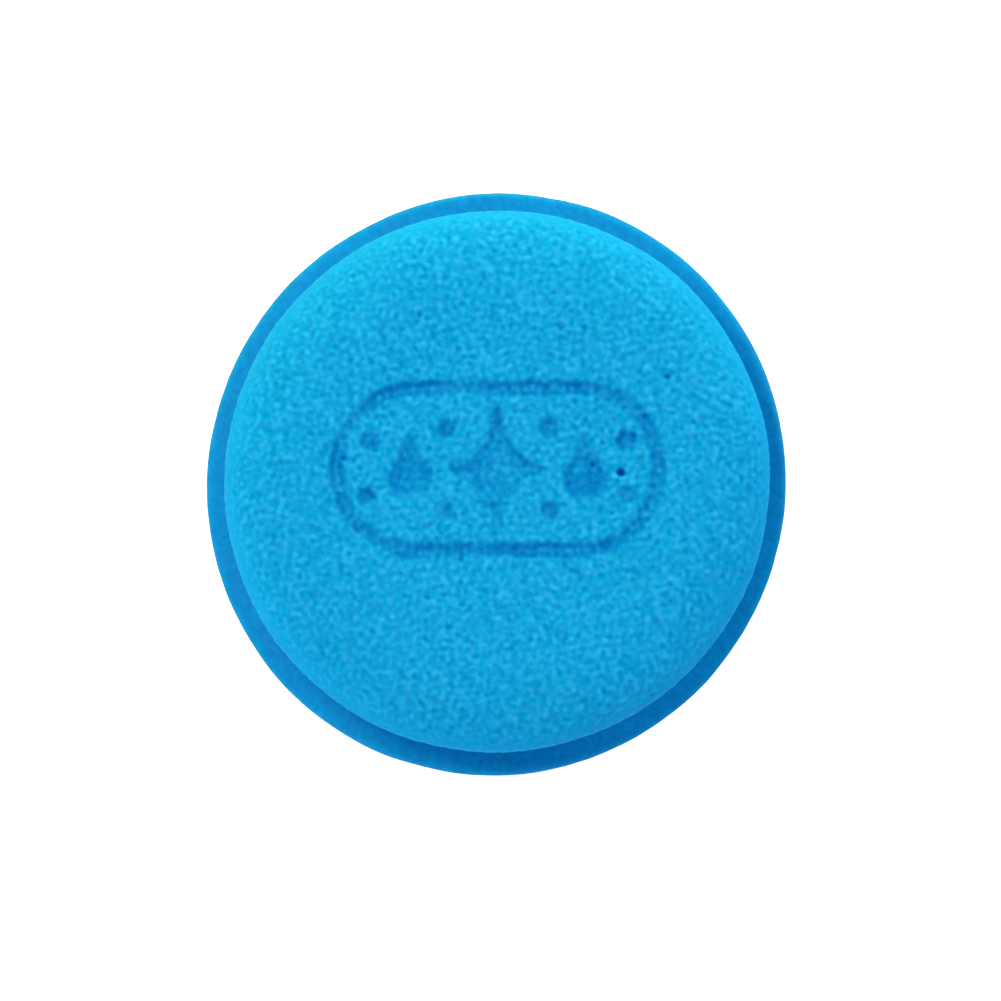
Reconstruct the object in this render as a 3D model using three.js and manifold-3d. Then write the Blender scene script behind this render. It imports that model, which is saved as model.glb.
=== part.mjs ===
// A hand-held clay pad for car paint: a moulded foam grip bonded to a disc of polymer clay.
// Millimetres, +Z up. The origin is the centre of the clay's working face, which lies on the paint.
// +Y points to the top of the emblem pressed into the grip, and +X to the emblem's right.

import * as THREE from "three";
import { mergeVertices } from "three/addons/utils/BufferGeometryUtils.js";
import Module from "manifold-3d";

const wasm = await Module();
wasm.setup();

// Driving dimensions of the whole pad.
const PAD_DIAMETER = 90;
const PAD_HEIGHT = 30;
const CLAY_THICKNESS = 6;
const FILM_THICKNESS = 0.3;

// Clay disc: flat faces with softly rounded outer edges.
const CLAY_RADIUS = PAD_DIAMETER / 2;
const CLAY_TOP_ROUND = 1;
const CLAY_BOTTOM_ROUND = 1.2;

// Foam grip: a foot on the film, a neck for the fingertips, and a crown with a flat top.
const FOAM_BOTTOM = CLAY_THICKNESS + FILM_THICKNESS;
const FOOT_RADIUS = 40;
const FOOT_ROUND = 1;
const NECK_RADIUS = 34.5;
const NECK_HEIGHT = 13.5;
const CROWN_RADIUS = 41.3;
const CROWN_HEIGHT = 21;
const FLAT_RADIUS = 26;
const SHOULDER_FULLNESS = 2.8;
const FILM_RADIUS = FOOT_RADIUS - 0.6;

// Emblem: a badge with round ends that holds a sparkle, two drops and eight bubbles, pressed in to one
// depth. Drops and bubbles stand on both sides of the middle. A bubble is [x, y, radius].
const EMBLEM_DEPTH = 0.8;
const EMBLEM_CENTRE_Y = 1.5;
const BADGE_HALF_WIDTH = 25;
const BADGE_HALF_HEIGHT = 13;
const BADGE_GROOVE = 1.5;
const SPARKLE_HALF_WIDTH = 6.8;
const SPARKLE_HALF_HEIGHT = 9.4;
const SPARKLE_WAIST = 0.16;
const DROP_RADIUS = 2.9;
const DROP_TIP = 6.6;
const DROP_AT = [13.2, -1.5];
const BUBBLES = [
  [7.8, 6.2, 1.1],
  [7.8, -6.4, 1.1],
  [19.4, 4.2, 1.3],
  [19.6, -4, 1],
];

// Facets round the pad and along each curve.
const TURN_STEPS = 96;
const ARC_STEPS = 5;
const SHOULDER_STEPS = 9;
const BADGE_STEPS = 18;
const SPARKLE_STEPS = 6;
const DROP_STEPS = 16;
const BUBBLE_STEPS = 12;

const QUARTER = Math.PI / 2;
const FULL_TURN = 4 * QUARTER;

const foamMaterial = new THREE.MeshStandardMaterial({ color: 0x149edb, roughness: 0.95, metalness: 0 });
const clayMaterial = new THREE.MeshStandardMaterial({ color: 0x0b83cc, roughness: 0.5, metalness: 0 });
const filmMaterial = new THREE.MeshStandardMaterial({ color: 0xcfe6f2, roughness: 0.4, metalness: 0 });

// The points of some curves laid end to end in the half plane of radius and height.
function joinCurves(steps) {
  const points = [];
  for (const [curve, count] of steps) {
    for (const point of curve.getPoints(count)) {
      const last = points.at(-1);
      if (!last || last.distanceTo(point) > 1e-4) points.push(point);
    }
  }
  return points;
}

const at = (x, y) => new THREE.Vector2(x, y);

function arc(x, y, radiusX, radiusY, from, to) {
  return new THREE.EllipseCurve(x, y, radiusX, radiusY, from, to, false);
}

// A solid of revolution about Z from an outline that starts and ends on the axis.
function turned(outline) {
  return new THREE.LatheGeometry(outline, TURN_STEPS).rotateX(QUARTER);
}

function clayOutline() {
  const lowerEdge = CLAY_RADIUS - CLAY_BOTTOM_ROUND;
  const upperEdge = CLAY_RADIUS - CLAY_TOP_ROUND;
  const upperStart = CLAY_THICKNESS - CLAY_TOP_ROUND;
  const lowerArc = arc(lowerEdge, CLAY_BOTTOM_ROUND, CLAY_BOTTOM_ROUND, CLAY_BOTTOM_ROUND, -QUARTER, 0);
  const upperArc = arc(upperEdge, upperStart, CLAY_TOP_ROUND, CLAY_TOP_ROUND, 0, QUARTER);
  return joinCurves([
    [new THREE.LineCurve(at(0, 0), at(lowerEdge, 0)), 1],
    [lowerArc, ARC_STEPS],
    [upperArc, ARC_STEPS],
    [new THREE.LineCurve(at(upperEdge, CLAY_THICKNESS), at(0, CLAY_THICKNESS)), 1],
  ]);
}

function filmOutline() {
  return [
    at(0, CLAY_THICKNESS),
    at(FILM_RADIUS, CLAY_THICKNESS),
    at(FILM_RADIUS, FOAM_BOTTOM),
    at(0, FOAM_BOTTOM),
  ];
}

// An upright S from one radius to another, vertical at both ends.
function sweep(fromRadius, fromHeight, toRadius, toHeight) {
  const middle = (fromHeight + toHeight) / 2;
  return new THREE.CubicBezierCurve(
    at(fromRadius, fromHeight),
    at(fromRadius, middle),
    at(toRadius, middle),
    at(toRadius, toHeight),
  );
}

// The shoulder from the crown to the flat top, fuller than a quarter of an ellipse, whose fullness is 2.
function shoulder() {
  const width = CROWN_RADIUS - FLAT_RADIUS;
  const rise = PAD_HEIGHT - CROWN_HEIGHT;
  const power = 2 / SHOULDER_FULLNESS;
  const points = [];
  for (let step = 0; step <= SHOULDER_STEPS; step++) {
    const angle = (QUARTER * step) / SHOULDER_STEPS;
    const out = Math.max(Math.cos(angle), 0) ** power;
    points.push(at(FLAT_RADIUS + width * out, CROWN_HEIGHT + rise * Math.sin(angle) ** power));
  }
  return new THREE.Path(points);
}

function foamOutline() {
  const footEdge = FOOT_RADIUS - FOOT_ROUND;
  const footTop = FOAM_BOTTOM + FOOT_ROUND;
  return joinCurves([
    [new THREE.LineCurve(at(0, FOAM_BOTTOM), at(footEdge, FOAM_BOTTOM)), 1],
    [arc(footEdge, footTop, FOOT_ROUND, FOOT_ROUND, -QUARTER, 0), 3],
    [sweep(FOOT_RADIUS, footTop, NECK_RADIUS, NECK_HEIGHT), ARC_STEPS],
    [sweep(NECK_RADIUS, NECK_HEIGHT, CROWN_RADIUS, CROWN_HEIGHT), ARC_STEPS + 1],
    [shoulder(), 1],
    [new THREE.LineCurve(at(FLAT_RADIUS, PAD_HEIGHT), at(0, PAD_HEIGHT)), 1],
  ]);
}

// A rectangle with round ends, anticlockwise.
function roundEnded(path, halfWidth, halfHeight) {
  const endX = halfWidth - halfHeight;
  path.moveTo(-endX, -halfHeight);
  path.lineTo(endX, -halfHeight);
  path.absarc(endX, 0, halfHeight, -QUARTER, QUARTER, false);
  path.lineTo(-endX, halfHeight);
  path.absarc(-endX, 0, halfHeight, QUARTER, 3 * QUARTER, false);
  return path;
}

function badgeShape() {
  const shape = roundEnded(new THREE.Shape(), BADGE_HALF_WIDTH, BADGE_HALF_HEIGHT);
  const innerHalfWidth = BADGE_HALF_WIDTH - BADGE_GROOVE;
  const innerHalfHeight = BADGE_HALF_HEIGHT - BADGE_GROOVE;
  shape.holes.push(roundEnded(new THREE.Path(), innerHalfWidth, innerHalfHeight));
  return shape;
}

// Four points joined by hollow sides.
function sparkleShape() {
  const shape = new THREE.Shape();
  const tips = [
    at(SPARKLE_HALF_WIDTH, 0),
    at(0, SPARKLE_HALF_HEIGHT),
    at(-SPARKLE_HALF_WIDTH, 0),
    at(0, -SPARKLE_HALF_HEIGHT),
  ];
  shape.moveTo(tips[0].x, tips[0].y);
  tips.forEach((tip, i) => {
    const next = tips[(i + 1) % tips.length];
    const pull = tip.clone().add(next).multiplyScalar(SPARKLE_WAIST);
    shape.quadraticCurveTo(pull.x, pull.y, next.x, next.y);
  });
  return shape;
}

// A round drop with straight flanks that touch its circle and meet in a tip above it.
function dropShape() {
  const touch = Math.asin(DROP_RADIUS / DROP_TIP);
  const shape = new THREE.Shape();
  shape.moveTo(0, DROP_TIP);
  shape.lineTo(-DROP_RADIUS * Math.cos(touch), DROP_RADIUS * Math.sin(touch));
  shape.absarc(0, 0, DROP_RADIUS, Math.PI - touch, FULL_TURN + touch, false);
  shape.closePath();
  return shape;
}

function bubbleShape(radius) {
  const shape = new THREE.Shape();
  shape.absarc(0, 0, radius, 0, FULL_TURN, false);
  return shape;
}

// A closed mesh as a solid that can be joined and cut.
function toSolid(geometry) {
  const bare = geometry.clone();
  bare.deleteAttribute("normal");
  bare.deleteAttribute("uv");
  const merged = mergeVertices(bare, 1e-4);
  return new wasm.Manifold(
    new wasm.Mesh({
      numProp: 3,
      vertProperties: merged.attributes.position.array,
      triVerts: merged.index.array,
    }),
  );
}

function toGeometry(solid) {
  const mesh = solid.getMesh();
  return new THREE.BufferGeometry()
    .setAttribute("position", new THREE.BufferAttribute(mesh.vertProperties, 3))
    .setIndex(new THREE.BufferAttribute(mesh.triVerts, 1));
}

// A shape of the emblem as a cutter that sinks EMBLEM_DEPTH into the flat top.
function emblemCutter(shape, x, y, curveSegments) {
  const settings = { depth: 2 * EMBLEM_DEPTH, bevelEnabled: false, curveSegments };
  const geometry = new THREE.ExtrudeGeometry(shape, settings);
  geometry.translate(x, y + EMBLEM_CENTRE_Y, PAD_HEIGHT - EMBLEM_DEPTH);
  return toSolid(geometry);
}

function emblemCutters() {
  const cutters = [
    emblemCutter(badgeShape(), 0, 0, BADGE_STEPS),
    emblemCutter(sparkleShape(), 0, 0, SPARKLE_STEPS),
  ];
  for (const side of [-1, 1]) {
    cutters.push(emblemCutter(dropShape(), side * DROP_AT[0], DROP_AT[1], DROP_STEPS));
    for (const [x, y, radius] of BUBBLES) {
      cutters.push(emblemCutter(bubbleShape(radius), side * x, y, BUBBLE_STEPS));
    }
  }
  return cutters;
}

function foamGeometry() {
  const body = toSolid(turned(foamOutline()));
  return toGeometry(emblemCutters().reduce((solid, cutter) => solid.subtract(cutter), body));
}

function named(name, geometry, material) {
  const mesh = new THREE.Mesh(geometry, material);
  mesh.name = name;
  return mesh;
}

const pad = new THREE.Group();
pad.add(named("foam_grip", foamGeometry(), foamMaterial));
pad.add(named("adhesive_film", turned(filmOutline()), filmMaterial));
pad.add(named("clay_disc", turned(clayOutline()), clayMaterial));

export default pad;
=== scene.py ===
"""A hand-held clay pad: a moulded foam grip bonded to a disc of polymer clay.

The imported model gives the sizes. All three pieces get a fine mesh of their own in its place:
the foam with its cells, pores and pressed emblem, the clay disc with its rounded edges, and the
bonding film with its uneven rim. Lengths in the code are metres, and MM turns millimetres into them.
"""

import math

import bpy
import numpy as np
from mathutils import Matrix, Vector


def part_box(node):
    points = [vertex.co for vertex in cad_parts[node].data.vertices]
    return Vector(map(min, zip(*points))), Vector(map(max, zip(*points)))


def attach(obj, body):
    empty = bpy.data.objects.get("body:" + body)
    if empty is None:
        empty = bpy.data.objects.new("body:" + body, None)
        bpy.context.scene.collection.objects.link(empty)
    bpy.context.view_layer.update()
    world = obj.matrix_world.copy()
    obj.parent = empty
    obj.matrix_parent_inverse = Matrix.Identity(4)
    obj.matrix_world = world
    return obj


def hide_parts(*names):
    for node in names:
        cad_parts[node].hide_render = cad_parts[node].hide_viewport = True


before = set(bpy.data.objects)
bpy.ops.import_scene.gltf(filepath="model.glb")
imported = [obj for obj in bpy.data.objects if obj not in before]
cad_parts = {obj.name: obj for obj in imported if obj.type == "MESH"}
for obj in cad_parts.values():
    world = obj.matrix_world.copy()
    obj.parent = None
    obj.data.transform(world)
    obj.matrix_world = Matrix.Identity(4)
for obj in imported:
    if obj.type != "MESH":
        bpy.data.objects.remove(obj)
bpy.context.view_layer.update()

MM = 0.001

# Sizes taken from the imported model.
CLAY_LOW, CLAY_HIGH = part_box("clay_disc")
FOAM_LOW, FOAM_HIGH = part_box("foam_grip")
FILM_LOW, FILM_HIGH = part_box("adhesive_film")
CLAY_RADIUS = CLAY_HIGH.x
CLAY_THICKNESS = CLAY_HIGH.z
CROWN_RADIUS = FOAM_HIGH.x
FOAM_BOTTOM = FOAM_LOW.z
PAD_HEIGHT = FOAM_HIGH.z
FILM_RADIUS = FILM_HIGH.x

# The foam's outline between those sizes.
FOOT_RADIUS = 40 * MM
FOOT_ROUND = 1 * MM
NECK_RADIUS = 34.5 * MM
NECK_HEIGHT = 13.5 * MM
CROWN_HEIGHT = 21 * MM
FLAT_RADIUS = 26 * MM
SHOULDER_FULLNESS = 2.8

# The clay disc's edges.
CLAY_TOP_ROUND = 1.0 * MM
CLAY_BOTTOM_ROUND = 1.2 * MM

# Hand-made parts are never quite round: (how far out of round, direction of the long axis).
CLAY_OVALITY = (0.35 * MM, math.radians(56))
FOAM_OVALITY = (0.22 * MM, math.radians(26))

# The emblem: badge groove, sparkle, drops and bubbles, in millimetres from its centre.
EMBLEM_CENTRE = (0.0, 1.5)
EMBLEM_DEPTH = 0.7
EMBLEM_SOFTNESS = 1.8
BADGE_HALF_WIDTH = 25.0
BADGE_HALF_HEIGHT = 13.0
BADGE_GROOVE = 1.5
SPARKLE_HALF_WIDTH = 6.8
SPARKLE_HALF_HEIGHT = 9.4
SPARKLE_WAIST = 0.16
DROP_RADIUS = 2.9
DROP_TIP = 6.6
DROP_AT = (13.2, -1.5)
BUBBLES = [(7.8, 6.2, 1.1), (7.8, -6.4, 1.1), (19.4, 4.2, 1.3), (19.6, -4.0, 1.0)]

# A set of waves is (shortest wavelength, longest wavelength, count, seed). The foam's mottled grain adds up
# some sets by share: (share, *set). From here on, shapes in the surfaces are in millimetres.
GRAIN_WAVES = [(0.84, 0.95, 1.5, 300, 7), (0.40, 0.85, 1.15, 120, 8), (0.32, 1.7, 2.7, 80, 9)]
GRAIN_HEIGHT = 0.045
GRAIN_CONTRAST = 0.21
FOAM_SWELL_WAVES = (14, 30, 40, 11)
FOAM_SWELL_HEIGHT = 0.06
EMBLEM_EDGE_WAVES = (1.6, 4.5, 80, 17)
EMBLEM_FORCE_WAVES = (9, 20, 40, 27)
EMBLEM_SHADE_WAVES = (4, 12, 60, 19)
CLAY_SOFT_WAVES = (9, 22, 60, 21)
CLAY_SOFT_HEIGHT = 0.035
CLAY_FINE_WAVES = (2.2, 4.5, 120, 22)
CLAY_FINE_HEIGHT = 0.008
FILM_RIM_WAVES = (3, 9, 60, 31)
FILM_RIM_REACH = 0.14

# Faint mould seams that run round: (height above the floor, half width, how far it stands out).
FOAM_SEAM = (CROWN_HEIGHT / MM, 0.22, 0.12)
CLAY_SEAM = (2.4, 0.16, 0.07)

# Open pores. A large pore is (x, y, radius, depth).
LARGE_PORES = [
    (18.5, 1.0, 0.76, 0.9),
    (14.3, 2.2, 0.45, 0.5),
    (25.3, 15.4, 0.5, 0.5),
    (-23.2, 3.1, 0.45, 0.5),
    (16.0, 5.5, 0.42, 0.4),
    (20.7, 6.6, 0.42, 0.45),
    (-2.6, 38.0, 0.5, 0.45),
    (-11.9, 24.9, 0.45, 0.45),
]
SMALL_PORES = 70
SMALL_PORE_SEED = 41


# ---------------------------------------------------------------- outlines

def bezier(a, b, c, d, steps):
    """Points on a cubic curve."""
    t = np.linspace(0, 1, steps)[:, None]
    a, b, c, d = (np.array(p, float) for p in (a, b, c, d))
    return a * (1 - t) ** 3 + 3 * b * t * (1 - t) ** 2 + 3 * c * t**2 * (1 - t) + d * t**3


def arc(centre, radii, start, end, steps=40):
    """Points on a stretch of an ellipse."""
    t = np.linspace(start, end, steps)
    return np.column_stack((centre[0] + radii[0] * np.cos(t), centre[1] + radii[1] * np.sin(t)))


def sweep(from_radius, from_height, to_radius, to_height, steps=60):
    """An upright S, vertical at both ends."""
    middle = (from_height + to_height) / 2
    return bezier(
        (from_radius, from_height), (from_radius, middle), (to_radius, middle), (to_radius, to_height), steps
    )


def foam_outline():
    """The foam's (radius, height) line, from the middle of its underside to the middle of its top."""
    foot_edge = FOOT_RADIUS - FOOT_ROUND
    foot_top = FOAM_BOTTOM + FOOT_ROUND
    t = np.linspace(0, math.pi / 2, 200)
    out, up = np.clip((np.cos(t), np.sin(t)), 0, 1) ** (2 / SHOULDER_FULLNESS)
    shoulder_radius = FLAT_RADIUS + (CROWN_RADIUS - FLAT_RADIUS) * out
    shoulder_height = CROWN_HEIGHT + (PAD_HEIGHT - CROWN_HEIGHT) * up
    return np.vstack((
        [(0, FOAM_BOTTOM)],
        arc((foot_edge, foot_top), (FOOT_ROUND, FOOT_ROUND), -math.pi / 2, 0, 12),
        sweep(FOOT_RADIUS, foot_top, NECK_RADIUS, NECK_HEIGHT)[1:],
        sweep(NECK_RADIUS, NECK_HEIGHT, CROWN_RADIUS, CROWN_HEIGHT)[1:],
        np.column_stack((shoulder_radius, shoulder_height))[1:],
        [(0, PAD_HEIGHT)],
    ))


def clay_outline():
    """The clay disc's (radius, height) line, from the middle of its face to the middle of its top."""
    low_edge = CLAY_RADIUS - CLAY_BOTTOM_ROUND
    high_edge = CLAY_RADIUS - CLAY_TOP_ROUND
    low_round = (CLAY_BOTTOM_ROUND, CLAY_BOTTOM_ROUND)
    high_round = (CLAY_TOP_ROUND, CLAY_TOP_ROUND)
    return np.vstack((
        [(0, 0)],
        arc((low_edge, CLAY_BOTTOM_ROUND), low_round, -math.pi / 2, 0, 16),
        arc((high_edge, CLAY_THICKNESS - CLAY_TOP_ROUND), high_round, 0, math.pi / 2, 24),
        [(0, CLAY_THICKNESS)],
    ))


def film_outline():
    """The bonding film's (radius, height) line: a thin sheet with a rounded rim."""
    half = (FILM_HIGH.z - FILM_LOW.z) / 2
    middle = FILM_LOW.z + half
    rim = arc((FILM_RADIUS - half, middle), (half, half), -math.pi / 2, math.pi / 2, 9)
    return np.vstack(([(0, FILM_LOW.z)], rim, [(0, FILM_HIGH.z)]))


# ---------------------------------------------------------------- meshes of revolution

def resample(outline, spacing):
    """The outline with points about spacing(radius, height) apart, and its outward normal at each one."""
    steps = np.hypot(*np.diff(outline, axis=0).T)
    length = np.concatenate(([0], np.cumsum(steps)))
    fine = np.linspace(0, length[-1], 6000)
    radius = np.interp(fine, length, outline[:, 0])
    height = np.interp(fine, length, outline[:, 1])
    density = 1 / spacing(radius, height)
    count = np.concatenate(([0], np.cumsum((density[1:] + density[:-1]) / 2 * np.diff(fine))))
    total = max(4, int(round(count[-1])))
    at = np.interp(np.linspace(0, count[-1], total + 1), count, fine)
    points = np.column_stack((np.interp(at, fine, radius), np.interp(at, fine, height)))
    slope_r = np.interp(at, fine, np.gradient(radius, fine))
    slope_z = np.interp(at, fine, np.gradient(height, fine))
    normals = np.column_stack((slope_z, -slope_r))
    return points, normals / np.linalg.norm(normals, axis=1)[:, None]


def zip_rings(inner, inner_start, outer, outer_start, phase_inner, phase_outer):
    """Triangles between two rings of inner and outer vertices that start at different parts of a turn."""
    faces = []
    i = j = 0
    while i < inner or j < outer:
        next_inner = (i + 1) / inner + phase_inner if i < inner else math.inf
        next_outer = (j + 1) / outer + phase_outer if j < outer else math.inf
        a = inner_start + i % inner
        b = outer_start + j % outer
        if next_inner < next_outer:
            i += 1
            faces.append((a, inner_start + i % inner, b))
        else:
            j += 1
            faces.append((a, outer_start + j % outer, b))
    return faces


def turned_surface(outline, spacing):
    """Points, outward normals and triangles of the outline turned about Z, with even edges all over."""
    line, line_normals = resample(outline, spacing)
    points, normals, faces = [], [], []
    starts, counts, phases = [], [], []
    total = 0
    last = len(line) - 1
    for k, ((radius, height), (out_r, out_z)) in enumerate(zip(line, line_normals)):
        edge = float(spacing(np.array([radius]), np.array([height]))[0])
        count = 1 if k in (0, last) else max(6, int(round(2 * math.pi * radius / edge)))
        phase = 0.5 * (k % 2) / count
        angle = 2 * math.pi * (np.arange(count) / count + phase)
        if count == 1:
            radius, out_r = 0.0, 0.0
        cos, sin = np.cos(angle), np.sin(angle)
        points.append(np.column_stack((radius * cos, radius * sin, np.full(count, height))))
        normals.append(np.column_stack((out_r * cos, out_r * sin, np.full(count, out_z))))
        starts.append(total)
        counts.append(count)
        phases.append(phase)
        total += count
    for k in range(last):
        a, b = counts[k], counts[k + 1]
        if a == 1:
            faces += [(starts[k], starts[k + 1] + (i + 1) % b, starts[k + 1] + i) for i in range(b)]
        elif b == 1:
            faces += [(starts[k] + i, starts[k] + (i + 1) % a, starts[k + 1]) for i in range(a)]
        else:
            faces += zip_rings(a, starts[k], b, starts[k + 1], phases[k], phases[k + 1])
    normals = np.vstack(normals)
    normals /= np.linalg.norm(normals, axis=1)[:, None]
    return np.vstack(points), normals, np.array(faces)


def add_mesh(name, points, faces, material, **attributes):
    """A smooth-shaded object, with a number at each vertex for every named attribute."""
    mesh = bpy.data.meshes.new(name)
    mesh.from_pydata(points.tolist(), [], faces.tolist())
    for key, values in attributes.items():
        layer = mesh.attributes.new(key, "FLOAT", "POINT")
        layer.data.foreach_set("value", np.asarray(values, np.float32))
    mesh.polygons.foreach_set("use_smooth", np.ones(len(mesh.polygons), bool))
    mesh.materials.append(material)
    mesh.update()
    mesh.validate()
    piece = bpy.data.objects.new(name, mesh)
    bpy.context.scene.collection.objects.link(piece)
    return piece


def make_oval(points, ovality):
    """Points stretched along one direction and drawn in across it, in proportion to their radius."""
    amount, direction = ovality
    angle = np.arctan2(points[:, 1], points[:, 0])
    factor = 1 + amount / CLAY_RADIUS * np.cos(2 * (angle - direction))
    points = points.copy()
    points[:, :2] *= factor[:, None]
    return points


# ---------------------------------------------------------------- shapes in the surface

def ripple(points, shortest, longest, waves, seed):
    """Smooth random waves between two wavelengths, the same in all directions, with a spread of 1."""
    rng = np.random.default_rng(seed)
    direction = rng.normal(size=(waves, 3))
    direction /= np.linalg.norm(direction, axis=1)[:, None]
    number = 2 * math.pi / rng.uniform(shortest, longest, waves)
    phase = rng.uniform(0, 2 * math.pi, waves)
    total = np.zeros(len(points))
    for d, k, p in zip(direction, number, phase):
        total += np.cos(points @ (d * k) + p)
    return total * math.sqrt(2 / waves)


def smooth_step(x):
    """0 up to x = 0, 1 from x = 1, and a soft S in between."""
    x = np.clip(x, 0, 1)
    return x * x * (3 - 2 * x)


def seam_ridge(heights, seam):
    """How far a seam stands out at each height."""
    middle, half_width, stand = seam
    return stand * np.exp(-(((heights - middle) / half_width) ** 2))


def signed_distance(points, outline):
    """Distance from each point to a closed outline, negative inside it."""
    nearest = np.full(len(points), 1e9)
    inside = np.zeros(len(points), bool)
    for a, b in zip(outline, np.roll(outline, -1, axis=0)):
        edge = b - a
        offset = points - a
        t = np.clip(offset @ edge / (edge @ edge), 0, 1)
        nearest = np.minimum(nearest, np.hypot(*(offset - t[:, None] * edge).T))
        crosses = (a[1] > points[:, 1]) != (b[1] > points[:, 1])
        if edge[1]:
            crosses &= points[:, 0] < a[0] + edge[0] * (points[:, 1] - a[1]) / edge[1]
            inside ^= crosses
    return np.where(inside, -nearest, nearest)


def sparkle_outline():
    """Four points joined by hollow sides."""
    tips = np.array([
        (SPARKLE_HALF_WIDTH, 0),
        (0, SPARKLE_HALF_HEIGHT),
        (-SPARKLE_HALF_WIDTH, 0),
        (0, -SPARKLE_HALF_HEIGHT),
    ])
    t = np.linspace(0, 1, 12, endpoint=False)[:, None]
    sides = []
    for tip, following in zip(tips, np.roll(tips, -1, axis=0)):
        pull = (tip + following) * SPARKLE_WAIST
        sides.append(tip * (1 - t) ** 2 + 2 * pull * t * (1 - t) + following * t**2)
    return np.vstack(sides)


def drop_outline():
    """A round drop with straight flanks that meet in a tip."""
    touch = math.asin(DROP_RADIUS / DROP_TIP)
    round_part = arc((0, 0), (DROP_RADIUS, DROP_RADIUS), math.pi - touch, 2 * math.pi + touch, 30)
    return np.vstack(([(0, DROP_TIP)], round_part))


def badge_distance(points):
    """Distance outside the badge's groove, a band that follows a rectangle with round ends."""
    end = BADGE_HALF_WIDTH - BADGE_HALF_HEIGHT
    along = np.maximum(np.abs(points[:, 0]) - end, 0)
    middle = BADGE_HALF_HEIGHT - BADGE_GROOVE / 2
    return np.abs(np.hypot(along, points[:, 1]) - middle) - BADGE_GROOVE / 2


def emblem_press(x, y):
    """How far the emblem is pressed in at each place, about 0 to 1, with soft, uneven edges."""
    points = np.column_stack((x, y)) - EMBLEM_CENTRE
    distance = badge_distance(points)
    distance = np.minimum(distance, signed_distance(points, sparkle_outline()))
    mirrored = np.column_stack((np.abs(points[:, 0]), points[:, 1]))
    distance = np.minimum(distance, signed_distance(mirrored - DROP_AT, drop_outline()))
    for bx, by, radius in BUBBLES:
        distance = np.minimum(distance, np.hypot(mirrored[:, 0] - bx, mirrored[:, 1] - by) - radius)
    flat = np.column_stack((points, np.zeros(len(points))))
    uneven = 0.1 * ripple(flat, *EMBLEM_EDGE_WAVES)
    force = 0.9 + 0.16 * ripple(flat, *EMBLEM_FORCE_WAVES)
    return smooth_step(0.5 - (distance + uneven) / EMBLEM_SOFTNESS) * np.clip(force, 0.5, 1.2)


def pore_pits(points, normals):
    """Depth in millimetres of the open pores, and how strongly painted shade darkens them, from 0 to 1."""
    depth = np.zeros(len(points))
    dark = np.zeros(len(points))
    rng = np.random.default_rng(SMALL_PORE_SEED)
    exposed = np.flatnonzero(points[:, 2] > FOAM_BOTTOM / MM + 1)
    chosen = rng.choice(exposed, SMALL_PORES, replace=False)
    sizes = rng.uniform(0.28, 0.5, SMALL_PORES)
    pores = [(points[i], size, 0.35 * size, 0.35) for i, size in zip(chosen, sizes)]
    top = np.flatnonzero(normals[:, 2] > 0.2)
    for x, y, radius, deep in LARGE_PORES:
        nearest = top[np.argmin(np.hypot(points[top, 0] - x, points[top, 1] - y))]
        pores.append((points[nearest], radius, deep, min(1.0, deep)))
    for centre, radius, deep, darkness in pores:
        box = np.flatnonzero(np.abs(points - centre).max(axis=1) < 1.6 * radius)
        share = np.linalg.norm(points[box] - centre, axis=1) / radius
        cup = smooth_step(1.25 - share)
        depth[box] = np.maximum(depth[box], deep * cup)
        dark[box] = np.maximum(dark[box], darkness * cup)
    return depth, dark


# ---------------------------------------------------------------- materials

class Nodes:
    """A short way to write a material's nodes."""

    def __init__(self, name):
        self.material = bpy.data.materials.new(name)
        self.material.use_nodes = True
        self.tree = self.material.node_tree
        self.shader = self.tree.nodes["Principled BSDF"]

    def add(self, kind, inputs=(), **settings):
        node = self.tree.nodes.new(kind)
        for key, value in settings.items():
            setattr(node, key, value)
        for key, value in dict(inputs).items():
            self.put(node.inputs[key], value)
        return node

    def put(self, socket, value):
        if isinstance(value, bpy.types.NodeSocket):
            self.tree.links.new(value, socket)
        else:
            socket.default_value = value

    def shade(self, **inputs):
        for key, value in inputs.items():
            self.put(self.shader.inputs[key.replace("_", " ")], value)

    def position(self):
        """The place on the piece, in metres."""
        return self.add("ShaderNodeTexCoord").outputs["Object"]

    def noise(self, size_mm, detail=2.0, roughness=0.5):
        """Noise with features of about that size, from 0 to 1."""
        scale = 1 / (size_mm * MM)
        inputs = {"Vector": self.position(), "Scale": scale, "Detail": detail, "Roughness": roughness}
        return self.add("ShaderNodeTexNoise", inputs).outputs["Fac"]

    def attribute(self, name):
        return self.add("ShaderNodeAttribute", attribute_name=name).outputs["Fac"]

    def remap(self, value, low, high, to_low, to_high):
        keys = {"Value": value, "From Min": low, "From Max": high, "To Min": to_low, "To Max": to_high}
        return self.add("ShaderNodeMapRange", keys).outputs["Result"]

    def mix(self, factor, a, b, blend="MIX"):
        node = self.add("ShaderNodeMix", data_type="RGBA", blend_type=blend)
        self.put(node.inputs["Factor"], factor)
        self.put(node.inputs["A"], a)
        self.put(node.inputs["B"], b)
        return node.outputs["Result"]

    def ramp(self, value, stops):
        """A colour for each place along 0 to 1, blended in between."""
        node = self.add("ShaderNodeValToRGB", {"Fac": value})
        ends = node.color_ramp.elements
        while len(ends) < len(stops):
            ends.new(0.5)
        for end, (place, colour) in zip(ends, stops):
            end.position = place
            end.color = (*colour, 1)
        return node.outputs["Color"]

    def grey(self, value):
        channels = {"Red": value, "Green": value, "Blue": value}
        return self.add("ShaderNodeCombineColor", channels).outputs["Color"]

    def bump(self, height, distance_mm, strength=1.0, normal=None):
        inputs = {"Height": height, "Distance": distance_mm * MM, "Strength": strength}
        if normal is not None:
            inputs["Normal"] = normal
        return self.add("ShaderNodeBump", inputs).outputs["Normal"]


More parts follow.
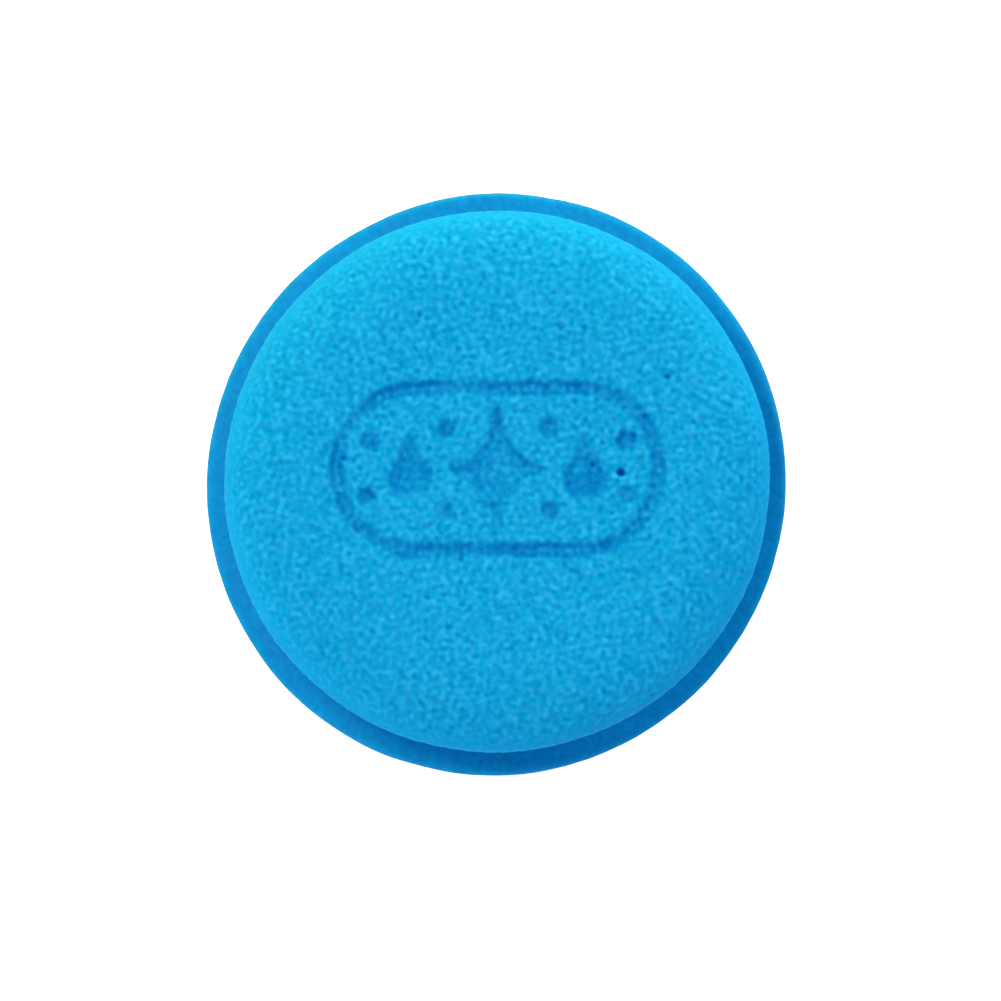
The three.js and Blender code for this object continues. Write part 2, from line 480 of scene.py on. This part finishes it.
def foam_material():
    """Sky-blue moulded foam in a mottled tone, lighter on the cell walls and darker in the hollows, where
    the darkness is partly painted shade; the pores and the sunken emblem get painted shade as well.
    """
    n = Nodes("foam_skyblue")
    grain = n.attribute("grain")
    # Lighter on the raised cell walls and darker in the hollows: partly the foam's own mottled tone, partly
    # painted shade in the hollows of the relief.
    hollow = (0.0002, 0.250, 0.548)
    middle = (0.0030, 0.338, 0.688)
    wall = (0.026, 0.443, 0.838)
    colour = n.ramp(grain, [(0.0, hollow), (0.5, middle), (1.0, wall)])
    cloud = n.remap(n.noise(9, 3), 0.3, 0.7, 0, 0.2)
    colour = n.mix(cloud, colour, (0.008, 0.361, 0.663, 1))
    violet = n.remap(n.noise(1.3, 2), 0.5, 0.75, 0, 0.4)
    colour = n.mix(violet, colour, (0.025, 0.322, 0.702, 1))
    speckle = n.remap(n.noise(0.6, 1), 0.3, 0.7, 0.94, 1.06)
    colour = n.mix(1.0, colour, n.grey(speckle), "MULTIPLY")
    # Painted shade over the sunken emblem, darkest on its walls.
    colour = n.mix(n.attribute("pressed"), colour, (0.15, 0.58, 0.80, 1), "MULTIPLY")
    # Painted shade in the open pores: a deep navy where they sink in.
    colour = n.mix(n.attribute("pore"), colour, (0.0003, 0.018, 0.400, 1))
    cells = n.add("ShaderNodeTexVoronoi", {"Vector": n.position(), "Scale": 1 / (0.42 * MM)})
    normal = n.bump(cells.outputs["Distance"], 0.05, 0.5)
    normal = n.bump(n.noise(0.25, 2), 0.03, 0.4, normal)
    n.shade(Base_Color=colour, Roughness=n.remap(grain, 0, 1, 0.95, 0.78), Normal=normal)
    n.shade(IOR=1.35, Specular_IOR_Level=0.04)
    return n.material


def clay_material():
    """Deep-blue polymer clay: smooth and satin, with a faint cloudiness and fine abrasive specks."""
    n = Nodes("clay_deepblue")
    cloud = n.remap(n.noise(6, 4, 0.6), 0.3, 0.7, 0, 1)
    colour = n.mix(cloud, (0.0002, 0.252, 0.575, 1), (0.0006, 0.292, 0.648, 1))
    violet = n.remap(n.noise(2.2, 2), 0.5, 0.75, 0, 0.5)
    colour = n.mix(violet, colour, (0.005, 0.235, 0.640, 1))
    mottle = n.remap(n.noise(0.9, 1), 0.3, 0.7, 0.90, 1.10)
    colour = n.mix(1.0, colour, n.grey(mottle), "MULTIPLY")
    speck = n.remap(n.noise(0.35, 1), 0.62, 0.75, 0, 0.25)
    colour = n.mix(speck, colour, (0.0003, 0.190, 0.520, 1))
    normal = n.bump(n.noise(1.2, 3, 0.55), 0.03, 0.35)
    normal = n.bump(n.noise(0.2, 2), 0.01, 0.35, normal)
    n.shade(Base_Color=colour, Roughness=n.remap(cloud, 0, 1, 0.42, 0.54), Normal=normal)
    n.shade(IOR=1.45, Specular_IOR_Level=0.06)
    return n.material


def film_material():
    """The milky edge of a bonding film."""
    n = Nodes("film_clear")
    colour = n.mix(n.noise(2.5, 2), (0.36, 0.62, 0.76, 1), (0.52, 0.74, 0.84, 1))
    n.shade(Base_Color=colour, Roughness=n.remap(n.noise(1.0, 2), 0, 1, 0.28, 0.45))
    n.shade(IOR=1.47, Specular_IOR_Level=0.4)
    return n.material


# ---------------------------------------------------------------- pieces

def foam_spacing(radius, height):
    """Edge lengths: finest under the emblem, and coarse on the hidden underside."""
    past_emblem = smooth_step((radius - 26.5 * MM) / (4 * MM))
    visible = np.where(height > CROWN_HEIGHT, 0.3 + 0.02 * past_emblem, 0.45) * MM
    hidden = (height <= FOAM_BOTTOM + 1e-6) & (radius < FOOT_RADIUS - 2 * FOOT_ROUND)
    return np.where(hidden, 3.0 * MM, visible)


def make_foam():
    """The foam, with the relief of its cells, swell, emblem, pores and seam, and numbers for its colours and
    its painted shade.
    """
    base, normals, faces = turned_surface(foam_outline(), foam_spacing)
    points = base / MM
    over_crown = points[:, 2] - CROWN_HEIGHT / MM
    on_top = smooth_step(over_crown / 4)
    press = emblem_press(points[:, 0], points[:, 1]) * on_top
    shown = smooth_step((points[:, 2] - FOAM_BOTTOM / MM) / 0.6)
    wall = 1 - np.clip(normals[:, 2], 0, 1)
    grain = sum(share * ripple(points, *waves) for share, *waves in GRAIN_WAVES)
    grain -= 0.04 * (grain**2 - 1)
    # The grain fades on the shoulder. Its relief comes back below the crown and its colour just above it.
    fading = 0.85 * smooth_step(wall / 0.7)
    strength = (1 - fading * (1 - 0.85 * smooth_step((1.5 - over_crown) / 4))) * shown
    contrast = (1 - fading * (1 - smooth_step((4.5 - over_crown) / 3))) * shown
    pit, dark = pore_pits(points, normals)
    height = (
        GRAIN_HEIGHT * grain * strength
        + FOAM_SWELL_HEIGHT * ripple(points, *FOAM_SWELL_WAVES) * shown
        - EMBLEM_DEPTH * press
        - pit * shown
        + seam_ridge(points[:, 2], FOAM_SEAM)
    )
    placed = make_oval(base, FOAM_OVALITY) + normals * (height * MM)[:, None]
    # The colour follows the relief: the foam's own mottled tone, with painted shade where the grain dips.
    lightness = np.clip(0.5 + GRAIN_CONTRAST * grain * contrast, 0, 1)
    # Painted shade for the sunken emblem: some over its floor, most on its sloping walls, a little uneven.
    edge = 4 * np.clip(press * (1 - press), 0, 1)
    patchy = 0.9 + 0.2 * ripple(points, *EMBLEM_SHADE_WAVES)
    shade = np.clip((0.32 * press + 0.64 * edge) * patchy, 0, 1)
    return add_mesh(
        "foam_body", placed, faces, foam_material(), grain=lightness, pressed=shade, pore=dark
    )


def clay_spacing(radius, height):
    """Edge lengths: fine on the edge that shows, and coarser on the flat faces."""
    inner = radius < CLAY_RADIUS - 6 * MM
    hidden = inner & (height > CLAY_THICKNESS / 2)
    face = np.where(inner, 0.9, 0.45) * MM
    return np.where(hidden, 3.0 * MM, face)


def make_clay():
    """The clay disc, slightly wavy where it isn't under the film, and nowhere below the floor."""
    base, normals, faces = turned_surface(clay_outline(), clay_spacing)
    points = base / MM
    covered = np.hypot(points[:, 0], points[:, 1]) < FILM_RADIUS / MM + 0.4
    covered &= points[:, 2] > CLAY_THICKNESS / MM - 0.5
    waves = CLAY_SOFT_HEIGHT * ripple(points, *CLAY_SOFT_WAVES)
    waves += CLAY_FINE_HEIGHT * ripple(points, *CLAY_FINE_WAVES)
    on_floor = points[:, 2] < 0.02
    height = np.where(covered, 0, waves)
    height = np.where(on_floor, -np.abs(height), height)
    height += seam_ridge(points[:, 2], CLAY_SEAM)
    placed = make_oval(base, CLAY_OVALITY) + normals * (height * MM)[:, None]
    return add_mesh("clay_body", placed, faces, clay_material())


def film_spacing(radius, height):
    """Edge lengths: fine on the rim, and coarse where the film is hidden."""
    return np.where(radius < FILM_RADIUS - 2 * MM, 4.0, 0.18) * MM


def make_film():
    """The bonding film, with a rim that wanders in and out."""
    base, _, faces = turned_surface(film_outline(), film_spacing)
    points = base / MM
    rim = smooth_step((np.hypot(points[:, 0], points[:, 1]) - 36) / 3)
    flat = points * (1, 1, 0)
    reach = FILM_RIM_REACH * ripple(flat, *FILM_RIM_WAVES) * rim / (FILM_RADIUS / MM)
    placed = make_oval(base, FOAM_OVALITY)
    placed[:, :2] *= (1 + reach)[:, None]
    return add_mesh("film_edge", placed, faces, film_material())


# ---------------------------------------------------------------- studio

COOL = (0.92, 0.95, 1.20)
FILL_STRENGTH = 0.3
FLOOR_GLOW = 0.3
FLOOR_HALF_WIDTH = 3.0
FLOOR_DROP = 0.05 * MM
VIEW_WIDTH = 155.5 * MM
VIEW_DISTANCE = 0.9
VIEW_LEAN = (-0.42, -1.47)
AIM = Vector((0.63, -2.5, 3.0)) * MM
SENSOR = 36.0


def make_camera():
    """A camera almost straight above, leaning VIEW_LEAN degrees towards +X and +Y."""
    data = bpy.data.cameras.new("camera")
    data.sensor_width = SENSOR
    data.lens = SENSOR * VIEW_DISTANCE / VIEW_WIDTH
    data.clip_start = 0.01
    data.clip_end = 20
    camera = bpy.data.objects.new("camera", data)
    lean_x, lean_y = (math.tan(math.radians(angle)) for angle in VIEW_LEAN)
    back = Vector((lean_x, lean_y, 1)).normalized()
    right = Vector((0, 1, 0)).cross(back).normalized()
    camera.location = AIM + back * VIEW_DISTANCE
    camera.rotation_euler = Matrix((right, back.cross(right), back)).transposed().to_euler()
    bpy.context.scene.collection.objects.link(camera)
    bpy.context.scene.camera = camera


def add_softbox(name, azimuth, elevation, power, size, blue, distance=0.8):
    """A square light that looks at the pad, warm where blue is under 1. Azimuth turns from +X to +Y."""
    data = bpy.data.lights.new(name, "AREA")
    data.energy = power
    data.size = size
    data.color = (1, 1, blue)
    light = bpy.data.objects.new(name, data)
    a, e = math.radians(azimuth), math.radians(elevation)
    away = Vector((math.cos(a) * math.cos(e), math.sin(a) * math.cos(e), math.sin(e)))
    light.location = away * distance + Vector((0, 0, PAD_HEIGHT / 2))
    light.rotation_euler = (-away).to_track_quat("-Z", "Y").to_euler()
    light.visible_camera = False
    bpy.context.scene.collection.objects.link(light)


def make_floor():
    """A white floor that glows fully for the camera and only a little on the pad."""
    half = FLOOR_HALF_WIDTH
    corners = [(-half, -half, 0), (half, -half, 0), (half, half, 0), (-half, half, 0)]
    mesh = bpy.data.meshes.new("floor")
    mesh.from_pydata(corners, [], [(0, 1, 2, 3)])
    n = Nodes("floor_white")
    n.shade(Base_Color=(0.85, 0.85, 0.85, 1), Roughness=0.9, Specular_IOR_Level=0.0)
    path = n.add("ShaderNodeLightPath")
    glow = n.remap(path.outputs["Is Camera Ray"], 0, 1, FLOOR_GLOW, 1.0)
    n.shade(Emission_Color=(*COOL, 1), Emission_Strength=glow)
    mesh.materials.append(n.material)
    floor = bpy.data.objects.new("floor", mesh)
    floor.location.z = -FLOOR_DROP
    bpy.context.scene.collection.objects.link(floor)


def make_world():
    """Even, slightly cool light all round, and a plain white background."""
    world = bpy.data.worlds.new("studio")
    world.use_nodes = True
    bpy.context.scene.world = world
    tree = world.node_tree
    fill = tree.nodes["Background"]
    fill.inputs["Color"].default_value = (*COOL, 1)
    fill.inputs["Strength"].default_value = FILL_STRENGTH
    backdrop = tree.nodes.new("ShaderNodeBackground")
    backdrop.inputs["Color"].default_value = (1, 1, 1, 1)
    path = tree.nodes.new("ShaderNodeLightPath")
    choice = tree.nodes.new("ShaderNodeMixShader")
    tree.links.new(path.outputs["Is Camera Ray"], choice.inputs["Fac"])
    tree.links.new(fill.outputs["Background"], choice.inputs[1])
    tree.links.new(backdrop.outputs["Background"], choice.inputs[2])
    tree.links.new(choice.outputs["Shader"], tree.nodes["World Output"].inputs["Surface"])


make_camera()
make_world()
make_floor()
add_softbox("key", 142, 74, 2.43, 0.15, 0.84)
add_softbox("low_right", 36, 21, 3.7, 0.5, 0.92)
add_softbox("low_left", 148, 20, 2.8, 0.5, 0.62)
add_softbox("low_front", 236, 20, 2.2, 0.5, 0.98)
add_softbox("edge", 88, 6, 2.9, 0.2, 0.40)
bpy.context.scene.view_settings.view_transform = "Standard"

foam = make_foam()
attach(foam, "root")
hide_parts("foam_grip")

clay = make_clay()
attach(clay, "root")
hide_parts("clay_disc")

film = make_film()
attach(film, "root")
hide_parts("adhesive_film")
